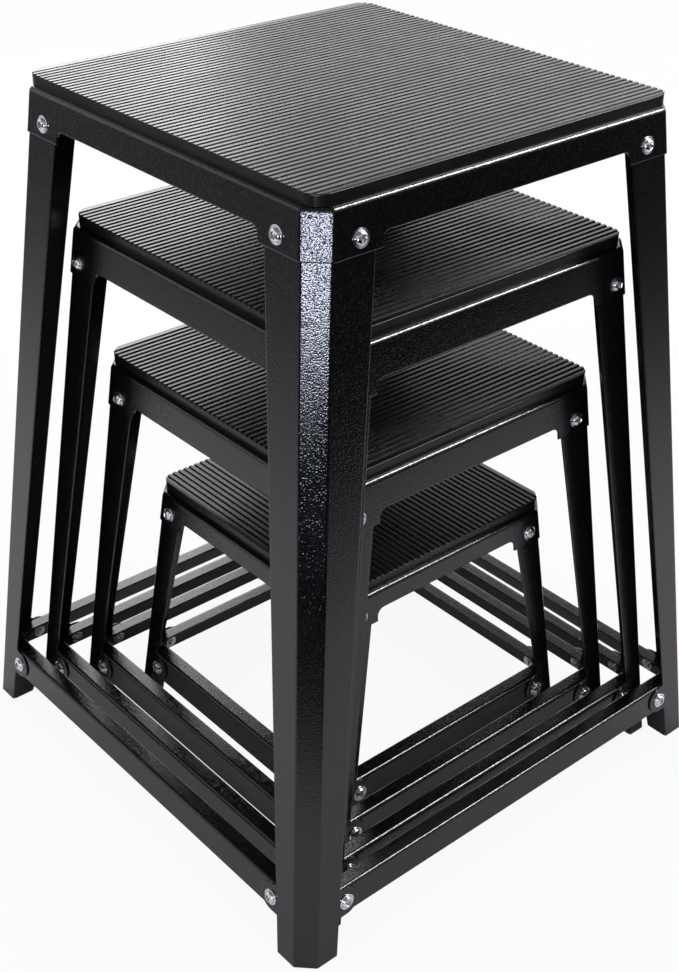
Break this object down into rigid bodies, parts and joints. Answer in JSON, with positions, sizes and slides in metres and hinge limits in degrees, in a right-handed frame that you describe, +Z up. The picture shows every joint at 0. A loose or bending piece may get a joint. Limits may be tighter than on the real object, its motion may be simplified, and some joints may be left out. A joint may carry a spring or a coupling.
{
  "type": "nested plyo box set",
  "caption": "Nested set of black steel plyo boxes with bent corner legs, angle rails, folded top pans and ribbed rubber treads; each smaller box stands inside the next.",
  "frame": {"origin": "on the floor, under the middle of the largest box", "axes": "+Z up; +X to the right and +Y to the back, square to the sides of the boxes; the picture looks at the corner between -X and -Y"},
  "size_m": [0.5882, 0.5882, 0.75],
  "materials": {
    "powder_coat": "textured black powder coat",
    "mat_rubber": "ribbed matt black rubber",
    "foot_rubber": "moulded matt black rubber",
    "screw_steel": "bright zinc plate",
    "nut_steel": "bright zinc plate"
  },
  "bodies": {
    "box30": {"box30_top_pan": "powder_coat", "box30_tread_mat": "mat_rubber", "box30_leg_front_left": "powder_coat", "box30_leg_front_right": "powder_coat", "box30_leg_back_right": "powder_coat", "box30_leg_back_left": "powder_coat", "box30_rail_front": "powder_coat", "box30_rail_right": "powder_coat", "box30_rail_back": "powder_coat", "box30_rail_left": "powder_coat", "box30_feet": "foot_rubber", "box30_screws": "screw_steel", "box30_nuts": "nut_steel"},
    "box24": {"box24_top_pan": "powder_coat", "box24_tread_mat": "mat_rubber", "box24_leg_front_left": "powder_coat", "box24_leg_front_right": "powder_coat", "box24_leg_back_right": "powder_coat", "box24_leg_back_left": "powder_coat", "box24_rail_front": "powder_coat", "box24_rail_right": "powder_coat", "box24_rail_back": "powder_coat", "box24_rail_left": "powder_coat", "box24_feet": "foot_rubber", "box24_screws": "screw_steel", "box24_nuts": "nut_steel"},
    "box18": {"box18_top_pan": "powder_coat", "box18_tread_mat": "mat_rubber", "box18_leg_front_left": "powder_coat", "box18_leg_front_right": "powder_coat", "box18_leg_back_right": "powder_coat", "box18_leg_back_left": "powder_coat", "box18_rail_front": "powder_coat", "box18_rail_right": "powder_coat", "box18_rail_back": "powder_coat", "box18_rail_left": "powder_coat", "box18_feet": "foot_rubber", "box18_screws": "screw_steel", "box18_nuts": "nut_steel"},
    "box12": {"box12_top_pan": "powder_coat", "box12_tread_mat": "mat_rubber", "box12_leg_front_left": "powder_coat", "box12_leg_front_right": "powder_coat", "box12_leg_back_right": "powder_coat", "box12_leg_back_left": "powder_coat", "box12_rail_front": "powder_coat", "box12_rail_right": "powder_coat", "box12_rail_back": "powder_coat", "box12_rail_left": "powder_coat", "box12_feet": "foot_rubber", "box12_screws": "screw_steel", "box12_nuts": "nut_steel"}
  },
  "joints": [
    {"name": "lift_box18", "type": "slide", "parent": "box12", "child": "box18", "axis": [0, 0, 1], "range_m": [0, 0.33]},
    {"name": "lift_box24", "type": "slide", "parent": "box18", "child": "box24", "axis": [0, 0, 1], "range_m": [0, 0.48]},
    {"name": "lift_box30", "type": "slide", "parent": "box24", "child": "box30", "axis": [0, 0, 1], "range_m": [0, 0.63]}
  ]
}
